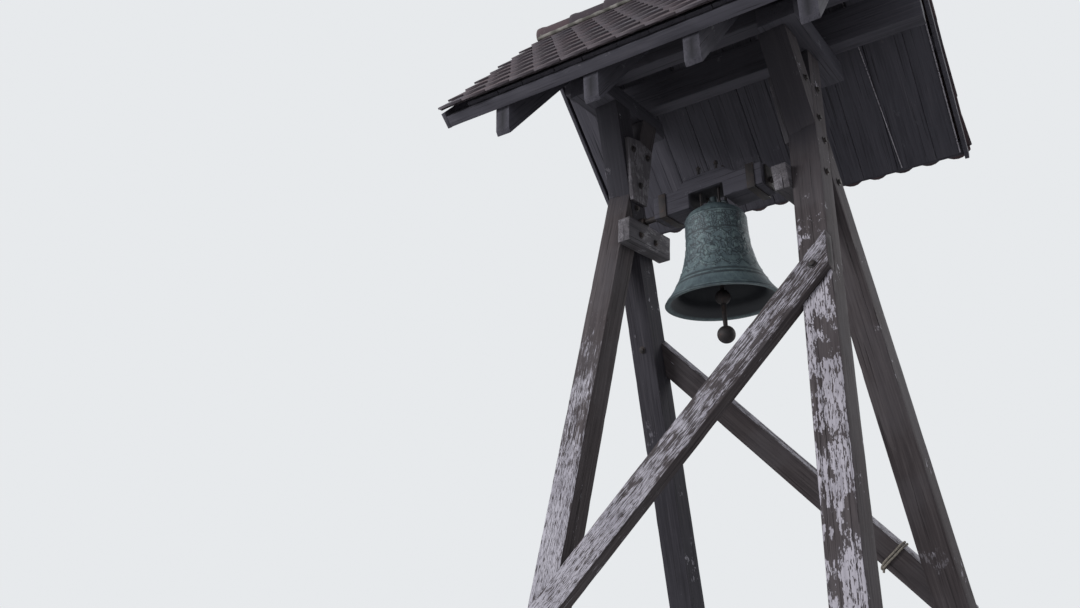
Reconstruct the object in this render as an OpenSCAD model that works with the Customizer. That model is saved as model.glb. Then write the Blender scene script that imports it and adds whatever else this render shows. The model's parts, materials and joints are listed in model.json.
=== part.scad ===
// Open timber bell tower: two crossed pairs of legs carry a small tiled
// saddle roof and a bronze bell that hangs from a wooden yoke.
// Millimetres, Z up. The origin is on the ground, below the middle of the
// bell. X runs along the yoke, and -Y is the front.

/* [Legs] */
// Height at which the two legs of a pair cross
cross_z = 4180; // [3600:10:5400]
// Run of a leg to the front or back for each metre of its height
leg_run = 271; // [210:1:340]
// Run of each pair towards the middle for each metre of its height
lean_run = 68; // [30:1:110]
// Distance from the middle to each pair of legs, at the crossing
pair_x = 643; // [620:1:860]
// Thickness of a leg along X
leg_t = 170; // [140:1:205]
// Width of a leg, square to its length
leg_w = 162; // [130:1:200]
// Thickness of the plank over the inner side of a crossing
cover_t = 30; // [20:1:40]
// Height of that plank above the crossing
cover_up = 385; // [320:1:460]

/* [Braces] */
// Height of the middle of each diagonal brace
brace_z = 2437; // [2000:1:2600]
// Angle between a brace and the ground
brace_a = 49; // [40:1:54]
// Width of a brace
brace_w = 160; // [120:1:195]
// Thickness of a brace
brace_t = 80; // [65:1:110]
// Depth to which a brace is let into the legs
brace_let = 45; // [20:1:56]

/* [Bearings] */
// Depth of the top of the bearing blocks below the crossing
block_drop = 239; // [190:1:300]
// Height of a bearing block
block_h = 160; // [120:1:200]
// Thickness of a bearing block
block_t = 92; // [75:1:112]
// Length of a bearing block in front of the axis
block_front = 220; // [180:1:300]
// Length of a bearing block behind the axis
block_back = 270; // [180:1:330]
// Radius of the gudgeon pins
pin_r = 20; // [16:0.5:26]
// Wall of the iron bearing round the pin
bearing_wall = 13; // [10:0.5:18]
// Radial clearance of a pin in its bearing
pin_gap = 0.05; // [0.02:0.01:0.1]
// Width of an iron bearing along X
bearing_len = 60; // [45:1:72]

/* [Yoke] */
// Gap between the end of the yoke and a bearing block
yoke_gap = 107; // [60:1:140]
// Depth of the yoke from front to back
yoke_d = 200; // [190:1:250]
// Height of the yoke at its ends
yoke_h = 145; // [120:1:180]
// Extra height of the hump in the middle
hump_h = 60; // [20:1:90]
// Half the length of the hump
hump_half = 215; // [170:1:240]
// Height of the pin axis above the underside of the yoke
axis_up = 54; // [44:1:70]

/* [Bell] */
// Radius of the mouth
mouth_r = 349; // [290:1:425]
// Radius of the waist below the shoulder
waist_r = 188; // [156:1:226]
// Height of the flank, from the mouth to the shoulder
flank_h = 520; // [430:1:625]
// Radius of the rounded shoulder
shoulder_r = 80; // [50:1:96]
// Wall at the waist
bell_wall = 20; // [14:0.5:30]
// Extra wall at the sound bow
bow_wall = 30; // [20:0.5:40]
// Flare exponent of the flank
flare = 2.6; // [2:0.1:3.4]
// Gap between the top of the bell and the underside of the yoke
crown_gap = 10; // [6:1:30]

/* [Clapper] */
// Radius of the clapper's pivot pin
pivot_r = 9; // [7:0.5:11]
// Radius of the clapper ball
ball_r = 46; // [36:1:56]
// Height of the ball's centre above the mouth
ball_up = 38; // [25:1:60]
// Length of the flight below the mouth
flight_down = 250; // [200:1:300]
// Radius of the knob at the clapper's lower end
knob_r = 54; // [42:1:60]

/* [Roof] */
// Rise from the crossing of the legs to the underside of the cross beams
cross_beam_rise = 620; // [510:1:760]
// Height of the cross beams
cross_beam_h = 130; // [100:1:170]
// Height of the ridge above the cross beams, where the tile faces meet
ridge_rise = 846; // [780:1:1000]
// Pitch of the roof
pitch = 46; // [40:0.5:52]
// Run from the ridge to the edge of the eaves
eave_run = 1280; // [1060:1:1540]
// Half the length of the roof along the ridge
roof_half = 1321; // [1100:1:1590]
// Turn of the roof on its legs
roof_turn = 6.5; // [-8:0.5:8]
// Shift of the roof along its ridge
roof_x = 61; // [-100:1:100]
// Shift of the roof to the back
roof_y = 58; // [-60:1:80]
// Thickness of the tile layer
tile_t = 50; // [35:1:62]
// Radius of the ridge tiles
ridge_tile_r = 105; // [80:1:130]
// Thickness of the roof boards
board_t = 25; // [18:1:35]
// Depth of the purlins
purlin_t = 70; // [50:1:90]
// Width of the purlins along the slope
purlin_w = 100; // [70:1:140]
// Depth of the rafters
rafter_t = 137; // [110:1:164]
// Width of the rafters along the ridge
rafter_w = 95; // [70:1:130]
// Width of the long beams that carry the rafters
carrier_w = 120; // [90:1:150]
// Distance from the ridge line to the outer face of a long beam
carrier_out = 308; // [260:1:380]
// Distance from the middle of the roof to the left end of a long beam
carrier_left = 960; // [860:1:1030]
// Length of a cross beam past the outer face of a long beam
cross_beam_end = 126; // [40:1:130]
// Width of the cross beams
cross_beam_w = 230; // [190:1:270]
// Turn of the cross beams on the legs
cross_beam_turn = 3; // [-8:0.5:8]
// Thickness of the barge boards
barge_t = 28; // [20:1:40]
// Depth of the barge boards
barge_d = 98; // [82:1:118]

/* [Lashing] */
// Radius of the rope
rope_r = 7; // [5:0.5:10]
// Distance of the lashing from the middle of the leg, along the back brace
rope_place = 430; // [300:1:560]

/* [Hidden] */

$fn = 64;

// A size larger than the tower
big = 9000;

// Gap between pieces that lie on each other along a slope or in a loop
seat_gap = 0.3;

// Angles of the legs, of each leaning pair and of the front and back planes
leg_a = atan(leg_run / 1000);
lean_a = atan(lean_run / 1000);
face_a = atan(tan(leg_a) / cos(lean_a));

// Heights that follow from the driving sizes
block_top = cross_z - block_drop;
axis_z = block_top + pin_r + bearing_wall;
yoke_bottom = axis_z - axis_up;
yoke_top = yoke_bottom + yoke_h;
hump_top = yoke_top + hump_h;
cross_beam_z = cross_z + cross_beam_rise;
carrier_z = cross_beam_z + cross_beam_h;
ridge_z = carrier_z + ridge_rise;

// The bell and its clapper
crown_plate = 22;
bell_h = flank_h + shoulder_r + crown_plate;
mouth_z = yoke_bottom - crown_gap - bell_h;
crown_z = mouth_z + bell_h;
pivot_z = mouth_z + flank_h + shoulder_r - bell_wall - 36;

// Colours of the finishes
oak = "#4a3b33";
pale_oak = "#8d8172";
iron = "#3b3330";
bronze = "#4f7a68";
clay = "#5a4038";
hemp = "#b9a888";

// X of the outer (out = 1) or inner (out = -1) face of the right pair
function leg_x(z, out) = pair_x + lean_run / 1000 * (cross_z - z) + out * leg_t / 2 / cos(lean_a);

// Inner face of a bearing block, which leans with the legs
function block_x(z) = leg_x(z, -1) - block_t;

// Half the length of the yoke
yoke_half = block_x(block_top) - yoke_gap;

// Everything on the left is the right turned over
module on_side(side) {
    mirror([side < 0 ? 1 : 0, 0, 0])
        children();
}

// Plane of the right pair: origin at the crossing, Z up along the lean
module pair_place() {
    translate([pair_x, 0, cross_z])
        rotate([0, -lean_a, 0])
            children();
}

// Plane of the outer leg faces, with its Y square to the faces
module face_place(dir) {
    translate([0, dir * leg_w / 2 / cos(leg_a), cross_z])
        rotate([dir * face_a, 0, 0])
            children();
}

// Space between two heights
module between(z0, z1) {
    translate([-big, -big, z0])
        cube([2 * big, 2 * big, z1 - z0]);
}

// Space between the outer faces of the two pairs
module inside_pairs() {
    translate([0, big, 0])
        rotate([90, 0, 0])
            linear_extrude(2 * big)
                polygon([[-leg_x(0, 1), 0], [leg_x(0, 1), 0],
                         [leg_x(ridge_z, 1), ridge_z], [-leg_x(ridge_z, 1), ridge_z]]);
}

// Bolt along X, from x0 to x1, with a washer and a hexagon at each end
module bolt_x(r, x0, x1) {
    rotate([0, 90, 0]) {
        translate([0, 0, x0])
            cylinder(r = r, h = x1 - x0);
        for (end = [[x0, -1], [x1, 1]])
            translate([0, 0, end[0]])
                mirror([0, 0, end[1] < 0 ? 1 : 0]) {
                    cylinder(r = r * 2.6, h = r * 0.4);
                    cylinder(r = r * 1.8, h = r * 1.6, $fn = 6);
                }
    }
}

// Bore along X for such a bolt
module bore_x(r, x0, x1) {
    translate([x0 - 1, 0, 0])
        rotate([0, 90, 0])
            cylinder(r = r, h = x1 - x0 + 2);
}

// Straight bar of one leg of the right pair, from x0 to x1 in its plane
module leg_bar(dir, x0, x1) {
    rotate([dir * leg_a, 0, 0])
        translate([x0, -leg_w / 2, -big / 2])
            cube([x1 - x0, leg_w, big]);
}

// Bolts through the lap of a pair
bolt_r = 9;
lap_bolt_z = [-78, 78];
module lap_bolt_places() {
    for (z = lap_bolt_z)
        translate([0, 0, z])
            children();
}

// Plank over a crossing, wide at the top, and its bolt in each leg
cover_down = 48;
cover_peak = 27;
cover_edge = 46;
cover_bolt_z = cover_up - 70;
cover_in = -leg_t / 2 - cover_t;
module cover_bolt_places() {
    for (dir = [-1, 1])
        translate([0, dir * tan(leg_a) * cover_bolt_z, cover_bolt_z])
            children();
}

// Bolts through a bearing block and the two legs behind it
block_mid = block_top - block_h / 2;
block_bolt_in = -leg_t / 2 - block_t * cos(lean_a);
module block_bolt_places() {
    for (dir = [-1, 1])
        translate([0, dir * tan(leg_a) * (cross_z - block_mid), (block_mid - cross_z) / cos(lean_a)])
            children();
}

// Leg before its brace housing is cut: dir -1 has its foot at the front
module leg_blank(dir) {
    lap = dir < 0 ? [-leg_t / 2 - 1, 0] : [0, leg_t / 2 + 1];
    intersection() {
        pair_place()
            difference() {
                leg_bar(dir, -leg_t / 2, leg_t / 2);
                leg_bar(-dir, lap[0], lap[1]);
                lap_bolt_places()
                    bore_x(bolt_r, -leg_t / 2, leg_t / 2);
                cover_bolt_places()
                    bore_x(bolt_r, -leg_t / 2, leg_t / 2);
                block_bolt_places()
                    bore_x(bolt_r, -leg_t / 2, leg_t / 2);
            }
        between(0, cross_beam_z);
    }
}

module leg(side, dir) {
    color(oak)
        difference() {
            on_side(side)
                leg_blank(dir);
            brace_bar(dir);
            brace_bolt_place(side, dir)
                brace_bolt_bore(dir);
        }
}

// The upper lap bolt goes through the plank too
module crossing_bolts(side) {
    color(iron)
        on_side(side)
            pair_place() {
                for (z = lap_bolt_z)
                    translate([0, 0, z])
                        bolt_x(bolt_r, z > 0 ? cover_in : -leg_t / 2, leg_t / 2);
                cover_bolt_places()
                    bolt_x(bolt_r, cover_in, leg_t / 2);
            }
}

module crossing_plank(side) {
    top_half = tan(leg_a) * cover_up + cover_edge;
    color(pale_oak)
        on_side(side)
            pair_place()
                difference() {
                    translate([cover_in, 0, 0])
                        rotate([90, 0, 90])
                            linear_extrude(cover_t)
                                polygon([[-leg_w / 2, -cover_down], [leg_w / 2, -cover_down],
                                         [top_half, cover_up], [0, cover_up + cover_peak],
                                         [-top_half, cover_up]]);
                    lap_bolt_places()
                        bore_x(bolt_r, cover_in, -leg_t / 2);
                    cover_bolt_places()
                        bore_x(bolt_r, cover_in, -leg_t / 2);
                }
}

// Line of a brace: the front one rises to the right, the back one to the left
module brace_place(dir) {
    face_place(dir)
        translate([0, 0, (brace_z - cross_z) / cos(face_a)])
            rotate([0, dir * brace_a, 0])
                children();
}

// Long bar of a brace, before its ends are cut
module brace_bar(dir) {
    brace_place(dir)
        translate([-big / 2, dir > 0 ? -brace_let : brace_let - brace_t, -brace_w / 2])
            cube([big, brace_t, brace_w]);
}

// Height at which the middle of a brace meets a leg: high or low end
function brace_meets(up) =
    let (k = up * tan(brace_a) * cos(face_a), l = lean_run / 1000)
    (brace_z + k * (pair_x + l * cross_z)) / (1 + k * l);

// Place of the bolt through a brace and a leg, square to the outer faces
module brace_bolt_place(side, dir) {
    z = brace_meets(-side * dir);
    x = side * (pair_x + lean_run / 1000 * (cross_z - z));
    face_place(dir)
        translate([x, 0, (z - cross_z) / cos(face_a)])
            rotate([0, 0, 90])
                children();
}

// Depth of the bolt behind the outer face: the leg and 1 mm for its washer
bolt_back = leg_w + 1;
bolt_front = brace_t - brace_let;
module brace_bolt_bore(dir) {
    if (dir > 0)
        bore_x(bolt_r, -bolt_back, bolt_front);
    else
        bore_x(bolt_r, -bolt_front, bolt_back);
}

module brace(dir) {
    color(oak)
        difference() {
            intersection() {
                brace_bar(dir);
                inside_pairs();
            }
            for (side = [-1, 1])
                brace_bolt_place(side, dir)
                    brace_bolt_bore(dir);
        }
}

module brace_bolts() {
    color(iron)
        for (dir = [-1, 1], side = [-1, 1])
            brace_bolt_place(side, dir)
                if (dir > 0)
                    bolt_x(bolt_r, -bolt_back, bolt_front);
                else
                    bolt_x(bolt_r, -bolt_front, bolt_back);
}

// Bearing block: a prism between the lean of the legs and its inner face
module bearing_block(side) {
    z0 = block_top - block_h;
    color(pale_oak)
        on_side(side)
            difference() {
                translate([0, block_back, 0])
                    rotate([90, 0, 0])
                        linear_extrude(block_front + block_back)
                            polygon([[block_x(z0), z0], [leg_x(z0, -1), z0],
                                     [leg_x(block_top, -1), block_top], [block_x(block_top), block_top]]);
                pair_place()
                    block_bolt_places()
                        bore_x(bolt_r, block_bolt_in, -leg_t / 2);
            }
}

module block_bolts(side) {
    color(iron)
        on_side(side)
            pair_place()
                block_bolt_places()
                    bolt_x(bolt_r, block_bolt_in, leg_t / 2);
}

// Iron bearing on a block: a foot plate and a round housing with a true bore
bearing_x = (block_x(block_top) + leg_x(block_top, -1)) / 2;
foot_plate = [bearing_len, 170, 10];
module bearing(side) {
    housing_r = pin_r + bearing_wall;
    color(iron)
        on_side(side)
            translate([bearing_x, 0, block_top])
                difference() {
                    union() {
                        translate([-foot_plate[0] / 2, -foot_plate[1] / 2, 0])
                            cube(foot_plate);
                        translate([-bearing_len / 2, 0, housing_r])
                            rotate([0, 90, 0])
                                cylinder(r = housing_r, h = bearing_len);
                        translate([-bearing_len / 2, -housing_r, 0])
                            cube([bearing_len, 2 * housing_r, housing_r]);
                        for (s = [-1, 1])
                            translate([0, s * 62, foot_plate[2]])
                                cylinder(r = 14, h = 12, $fn = 6);
                    }
                    translate([-bearing_len, 0, housing_r])
                        rotate([0, 90, 0])
                            cylinder(r = pin_r + pin_gap, h = 2 * bearing_len);
                }
}

// The roof's own directions, and its place over the legs
module turned() {
    rotate([0, 0, roof_turn])
        children();
}

module roof_place() {
    turned()
        translate([roof_x, roof_y, 0])
            children();
}

// Height of a plane parallel to the tiles, depth d under their face
function under(y, d) = ridge_z - d / cos(pitch) - abs(y) * tan(pitch);

// Space under such a plane, on both sides of the ridge
module under_roof(d) {
    w = 2 * eave_run;
    translate([-big / 2, 0, 0])
        rotate([90, 0, 90])
            linear_extrude(big)
                polygon([[-w, under(w, d) - big], [w, under(w, d) - big],
                         [w, under(w, d)], [0, under(0, d)], [-w, under(w, d)]]);
}

// Layer of one slope, d under the tile face and t thick, plumb at the ridge
// and square at the eaves, between two places along the ridge
module layer(dir, d, t, run, x0, x1) {
    on_front(dir)
        translate([x0, 0, 0])
            rotate([90, 0, 90])
                linear_extrude(x1 - x0)
                    polygon([[0, under(0, d)], [0, under(0, d + t)],
                             [run - t * sin(pitch), under(run, d) - t * cos(pitch)],
                             [run, under(run, d)]]);
}

// Bar along the ridge between two layers, with its lower edge at a given run
module slope_bar(dir, d, t, run, w, x0, x1) {
    on_front(dir)
        translate([x0, run, under(run, d)])
            rotate([-pitch, 0, 0])
                translate([0, -w, -t])
                    cube([x1 - x0, w, t]);
}

module on_front(dir) {
    mirror([0, dir < 0 ? 1 : 0, 0])
        children();
}

// Depths of the layers under the tile face. The front boards lie on the
// purlins, and the back ones are nailed under them.
batten_d = tile_t + seat_gap;
function board_d(dir) = batten_d + (dir < 0 ? 0 : purlin_t + seat_gap);
function purlin_d(dir) = batten_d + (dir < 0 ? board_t + seat_gap : 0);
rafter_d = batten_d + board_t + purlin_t + 2 * seat_gap;
carrier_d = rafter_d + rafter_t + seat_gap;

// Ends of the layers along the ridge
barge_x = roof_half - 20;
frame_x = barge_x - barge_t;
board_gap = 14;

// Cross beam on the tops of a pair's two upper ends, its outer side flush
// with a line past the legs
cross_beam_x = leg_x(cross_beam_z, 1) + 75 - cross_beam_w / 2;
module cross_beam(side) {
    half = carrier_out + cross_beam_end;
    color(oak)
        roof_place()
            intersection() {
                translate([side * cross_beam_x - roof_x, 0, cross_beam_z])
                    rotate([0, 0, cross_beam_turn - roof_turn])
                        translate([-cross_beam_w / 2, -half, 0])
                            cube([cross_beam_w, 2 * half, cross_beam_h]);
                under_roof(carrier_d);
            }
}

// Long beam to the right gable, with its top bevelled to the rafters
module carrier(dir) {
    color(oak)
        roof_place()
            intersection() {
                on_front(dir)
                    translate([-carrier_left, carrier_out - carrier_w, carrier_z])
                        cube([carrier_left + frame_x, carrier_w, big]);
                under_roof(carrier_d);
            }
}

// Rafters, cut plumb at the foot with the lower corner taken off. The front
// ones reach the eaves purlin, and the back ones end on the long beam.
rafter_x = [-900, -300, 300, 900] / 1273;
rafter_foot = 0.89;
foot_cut = [18, 45];
module rafters(dir) {
    low = rafter_d + rafter_t;
    foot = dir < 0 ? eave_run * rafter_foot : carrier_out;
    color(oak)
        roof_place()
            for (x = rafter_x * frame_x)
                on_front(dir)
                    translate([x - rafter_w / 2, 0, 0])
                        rotate([90, 0, 90])
                            linear_extrude(rafter_w)
                                polygon([[0, under(0, rafter_d)], [0, under(0, low)],
                                         [foot - foot_cut[0], under(foot - foot_cut[0], low)],
                                         [foot, under(foot, low) + foot_cut[1]], [foot, under(foot, rafter_d)]]);
}

// Ridge, middle and eaves purlins of one slope
purlin_run = [0.11, 0.54, 0.94];
module purlins(dir) {
    color(oak)
        roof_place()
            for (run = purlin_run * eave_run)
                slope_bar(dir, purlin_d(dir), purlin_t, run, purlin_w, -frame_x, frame_x);
}

module roof_boards(dir) {
    color(oak)
        roof_place()
            layer(dir, board_d(dir), board_t, eave_run - 52, board_gap - frame_x, frame_x - board_gap);
}

module barge_boards(side) {
    color(oak)
        roof_place()
            for (dir = [-1, 1])
                on_side(side)
                    layer(dir, batten_d, barge_d, eave_run - 60, frame_x, barge_x);
}

module tiles(dir) {
    color(clay)
        roof_place()
            layer(dir, 0, tile_t, eave_run, -roof_half, roof_half);
}

// Half-round ridge tiles, seated on the tile faces
ridge_tile_t = 15;
module ridge_tiles() {
    color(clay)
        roof_place()
            translate([-roof_half, 0, 0])
                difference() {
                    translate([0, 0, ridge_z - ridge_tile_r * 0.66])
                        rotate([0, 90, 0])
                            difference() {
                                cylinder(r = ridge_tile_r, h = 2 * roof_half);
                                translate([0, 0, -1])
                                    cylinder(r = ridge_tile_r - ridge_tile_t, h = 2 * roof_half + 2);
                            }
                    under_roof(0);
                }
}

// Rectangle with round corners, centred
module round_rect(w, h, r) {
    square([w - 2 * r, h], center = true);
    square([w, h - 2 * r], center = true);
    for (x = [-1, 1], y = [-1, 1])
        translate([x * (w / 2 - r), y * (h / 2 - r)])
            circle(r);
}

// Two turns of rope round the back brace, beside the right leg
rope_turns = [-1, 1];
rope_slack = 0.3;
module rope_lashing() {
    z = brace_meets(-1);
    along = (pair_x + lean_run / 1000 * (cross_z - z)) / cos(brace_a) - rope_place;
    d = 2 * rope_r;
    color(hemp)
        brace_place(1)
            for (turn = rope_turns)
                translate([along + turn * rope_r * 1.1 - rope_r, brace_t / 2 - brace_let, 0])
                    rotate([90, 0, 90])
                        linear_extrude(d)
                            difference() {
                                round_rect(brace_t + 2 * (d + rope_slack), brace_w + 2 * (d + rope_slack), d);
                                round_rect(brace_t + 2 * rope_slack, brace_w + 2 * rope_slack, 1);
                            }
}

// Top line of the yoke: level ends, and a hump with a flat for the irons
hump_flat = 110;
function hump_at(x) =
    abs(x) < hump_flat ? 1 : (1 + cos(180 * (abs(x) - hump_flat) / (hump_half - hump_flat))) / 2;
hump_line = [for (i = [-20:20]) let (x = i * hump_half / 20) [x, yoke_h + hump_h * hump_at(x)]];

// Notch for the crown of the bell, and the irons that hang it
notch = [236, 96];
stirrup_x = 62;
stirrup_y = 44;
rod_r = 8;
rod_up = 80;
tang = [150, 36, 36];

module yoke() {
    color(pale_oak)
        difference() {
            translate([0, yoke_d / 2, yoke_bottom])
                rotate([90, 0, 0])
                    linear_extrude(yoke_d)
                        polygon(concat([[-yoke_half, 0], [-yoke_half, yoke_h]], hump_line,
                                       [[yoke_half, yoke_h], [yoke_half, 0]]));
            translate([-notch[0] / 2, -yoke_d, yoke_bottom - 1])
                cube([notch[0], 2 * yoke_d, notch[1] + 1]);
            for (x = [-1, 1], y = [-1, 1])
                translate([x * stirrup_x, y * stirrup_y, yoke_bottom])
                    cylinder(r = rod_r + 0.5, h = yoke_h + hump_h + 1);
            for (s = [-1, 1])
                translate([s * (yoke_half - tang[0] / 2), 0, axis_z])
                    cube(tang, center = true);
        }
}

// Flat iron bands round the ends of the yoke
band = [50, 8];
band_in = 70;
module yoke_bands() {
    color(iron)
        for (s = [-1, 1])
            translate([s * (yoke_half - band_in) - band[0] / 2, 0, yoke_bottom + yoke_h / 2])
                rotate([90, 0, 90])
                    linear_extrude(band[0])
                        difference() {
                            square([yoke_d + 2 * band[1], yoke_h + 2 * band[1]], center = true);
                            square([yoke_d, yoke_h], center = true);
                        }
}

// Two stirrups through the loops of the crown, nutted on top of the hump
loop_r = 28;
loop_t = 10;
stirrup_z = crown_z + loop_r - loop_t - rod_r - seat_gap;
plate = [54, 136, 10];
module crown_bolts() {
    color(iron)
        for (x = [-1, 1])
            translate([x * stirrup_x, 0, 0]) {
                translate([0, 0, stirrup_z])
                    rotate([90, 0, 0])
                        cylinder(r = rod_r, h = 2 * (stirrup_y + rod_r), center = true);
                translate([-plate[0] / 2, -plate[1] / 2, hump_top])
                    cube(plate);
                for (y = [-1, 1])
                    translate([0, y * stirrup_y, 0]) {
                        translate([0, 0, stirrup_z])
                            cylinder(r = rod_r, h = hump_top + rod_up - stirrup_z);
                        for (z = [plate[2], rod_up - 24])
                            translate([0, 0, hump_top + z])
                                cylinder(r = rod_r * 1.9, h = 15, $fn = 6);
                    }
            }
}

// Gudgeon: an end plate, a tang in the yoke and a round pin in the bearing
gudgeon_plate = [12, 120, 132];
pin_end = bearing_x + bearing_len / 2 + 2;
module gudgeon(side) {
    color(iron)
        on_side(side) {
            translate([yoke_half, -gudgeon_plate[1] / 2, yoke_bottom + (yoke_h - gudgeon_plate[2]) / 2])
                cube(gudgeon_plate);
            translate([yoke_half - tang[0] / 2, 0, axis_z])
                cube(tang, center = true);
            translate([yoke_half, 0, axis_z])
                rotate([0, 90, 0])
                    cylinder(r = pin_r, h = pin_end - yoke_half);
        }
}

// Outer radius of the bell and its wall at height h above the mouth
function bell_r(h) = waist_r + (mouth_r - waist_r) * pow(1 - h / flank_h, flare);
function wall_at(h) = bell_wall + bow_wall * exp(-pow((h - flank_h * 0.09) / (flank_h * 0.08), 2));
flank_steps = 18;
arc_steps = 6;
arc_x = waist_r - shoulder_r;
flank_hs = [for (i = [0:flank_steps]) flank_h * pow(i / flank_steps, 1.3)];
bell_outside = concat(
    [for (h = flank_hs) [bell_r(h), h]],
    [for (i = [1:arc_steps]) let (a = 90 * i / arc_steps) [arc_x + shoulder_r * cos(a), flank_h + shoulder_r * sin(a)]],
    [[arc_x - 10, flank_h + shoulder_r + crown_plate], [0, bell_h]]);
bell_inside = concat(
    [[0, flank_h + shoulder_r - bell_wall]],
    [for (i = [arc_steps:-1:1]) let (a = 90 * i / arc_steps, r = shoulder_r - bell_wall)
        [arc_x + r * cos(a), flank_h + r * sin(a)]],
    [for (i = [flank_steps:-1:0]) let (h = flank_hs[i]) [bell_r(h) - wall_at(h), h]]);

module bell() {
    color(bronze)
        translate([0, 0, mouth_z])
            rotate_extrude($fn = 96)
                polygon(concat(bell_outside, bell_inside));
}

// Crown: a post and four loops, cast on top of the bell
post_r = 22;
module bell_crown() {
    color(bronze)
        translate([0, 0, crown_z]) {
            cylinder(r = post_r, h = 74);
            for (a = [0:90:270])
                rotate([90, 0, a])
                    translate([a % 180 == 0 ? stirrup_x : post_r + loop_r - loop_t, 0, 0])
                        rotate_extrude(angle = 180)
                            translate([loop_r, 0])
                                circle(loop_t, $fn = 24);
        }
}

// Staple under the crown: two cheeks and the pivot pin between them
cheek = [10, 40];
eye_t = 20;
eye_side = 2;
module clapper_staple() {
    top = mouth_z + flank_h + shoulder_r - bell_wall;
    color(iron) {
        for (s = [-1, 1])
            translate([s * (eye_t / 2 + eye_side + cheek[0] / 2), 0, 0]) {
                translate([-cheek[0] / 2, -cheek[1] / 2, pivot_z])
                    cube([cheek[0], cheek[1], top - pivot_z]);
                translate([-cheek[0] / 2, 0, pivot_z])
                    rotate([0, 90, 0])
                        cylinder(r = cheek[1] / 2, h = cheek[0]);
            }
        translate([0, 0, pivot_z])
            rotate([0, 90, 0])
                cylinder(r = pivot_r, h = eye_t + 2 * eye_side + 2 * cheek[0], center = true);
    }
}

// Clapper: an eye on the pin, a tapered shaft, the ball and its flight
eye_r = 24;
shaft_r = 13;
module clapper() {
    ball_z = mouth_z + ball_up;
    tip_z = mouth_z - flight_down;
    color(iron)
        difference() {
            union() {
                translate([-eye_t / 2, 0, pivot_z])
                    rotate([0, 90, 0])
                        cylinder(r = eye_r, h = eye_t);
                rotate_extrude($fn = 48)
                    polygon([[0, pivot_z - eye_r + 4], [shaft_r * 0.75, pivot_z - eye_r + 4],
                             [shaft_r, ball_z], [shaft_r * 1.3, ball_z - ball_r],
                             [shaft_r * 0.9, tip_z + knob_r], [0, tip_z + knob_r]]);
                translate([0, 0, ball_z])
                    sphere(r = ball_r, $fn = 48);
                translate([0, 0, tip_z + knob_r])
                    sphere(r = knob_r, $fn = 32);
            }
            translate([-eye_t, 0, pivot_z])
                rotate([0, 90, 0])
                    cylinder(r = pivot_r + pin_gap, h = 2 * eye_t);
        }
}

leg(1, -1);  // right_front_leg
leg(1, 1);  // right_back_leg
leg(-1, -1);  // left_front_leg
leg(-1, 1);  // left_back_leg
crossing_bolts(1);  // right_crossing_bolts
crossing_bolts(-1);  // left_crossing_bolts
crossing_plank(1);  // right_crossing_plank
crossing_plank(-1);  // left_crossing_plank
brace(-1);  // front_brace
brace(1);  // back_brace
brace_bolts();
bearing_block(1);  // right_bearing_block
bearing_block(-1);  // left_bearing_block
block_bolts(1);  // right_block_bolts
block_bolts(-1);  // left_block_bolts
bearing(1);  // right_bearing
bearing(-1);  // left_bearing
cross_beam(1);  // right_cross_beam
cross_beam(-1);  // left_cross_beam
carrier(-1);  // front_carrier
carrier(1);  // back_carrier
rafters(-1);  // front_rafters
rafters(1);  // back_rafters
purlins(-1);  // front_purlins
purlins(1);  // back_purlins
roof_boards(-1);  // front_roof_boards
roof_boards(1);  // back_roof_boards
barge_boards(1);  // right_barge_boards
barge_boards(-1);  // left_barge_boards
tiles(-1);  // front_tiles
tiles(1);  // back_tiles
ridge_tiles();
rope_lashing();
yoke();
yoke_bands();
crown_bolts();
gudgeon(1);  // right_gudgeon
gudgeon(-1);  // left_gudgeon
bell();
bell_crown();
clapper_staple();
clapper();
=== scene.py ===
import json
import math
import random

import bpy
import numpy as np
from mathutils import Matrix, Vector, noise


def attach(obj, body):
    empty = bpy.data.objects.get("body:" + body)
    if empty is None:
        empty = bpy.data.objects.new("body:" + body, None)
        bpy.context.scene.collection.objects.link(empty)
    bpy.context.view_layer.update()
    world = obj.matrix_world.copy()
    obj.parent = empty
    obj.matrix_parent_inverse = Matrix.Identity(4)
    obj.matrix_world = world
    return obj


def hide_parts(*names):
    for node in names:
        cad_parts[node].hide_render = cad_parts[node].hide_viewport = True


# Open timber bell tower. Metres, Z up, -Y is the front.
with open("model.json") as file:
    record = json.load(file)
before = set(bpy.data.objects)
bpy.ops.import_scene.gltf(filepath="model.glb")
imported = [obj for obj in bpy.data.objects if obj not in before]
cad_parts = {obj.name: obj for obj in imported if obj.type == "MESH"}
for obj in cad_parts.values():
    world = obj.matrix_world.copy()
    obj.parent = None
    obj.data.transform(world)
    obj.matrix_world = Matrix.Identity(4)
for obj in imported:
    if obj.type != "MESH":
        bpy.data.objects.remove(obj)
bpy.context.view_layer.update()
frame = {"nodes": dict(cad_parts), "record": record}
scene = bpy.context.scene
scene.view_settings.view_transform = "Standard"


def clearSelection():
    bpy.ops.object.select_all(action="DESELECT")


def pick(piece, *others):
    clearSelection()
    for item in (piece, *others):
        item.select_set(True)
    bpy.context.view_layer.objects.active = piece


# kind and test say what is selected when edit mode opens; without a test all is
def openMesh(piece, kind="FACE", test=None):
    pick(piece)
    mesh = piece.data
    for group in (mesh.vertices, mesh.edges, mesh.polygons):
        group.foreach_set("select", [test is None] * len(group))
    if test:
        for item in {"VERT": mesh.vertices, "EDGE": mesh.edges, "FACE": mesh.polygons}[kind]:
            item.select = bool(test(item))
    bpy.context.tool_settings.mesh_select_mode = [kind == k for k in ("VERT", "EDGE", "FACE")]
    bpy.ops.object.mode_set(mode="EDIT")


def closeMesh():
    bpy.ops.object.mode_set(mode="OBJECT")


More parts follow.
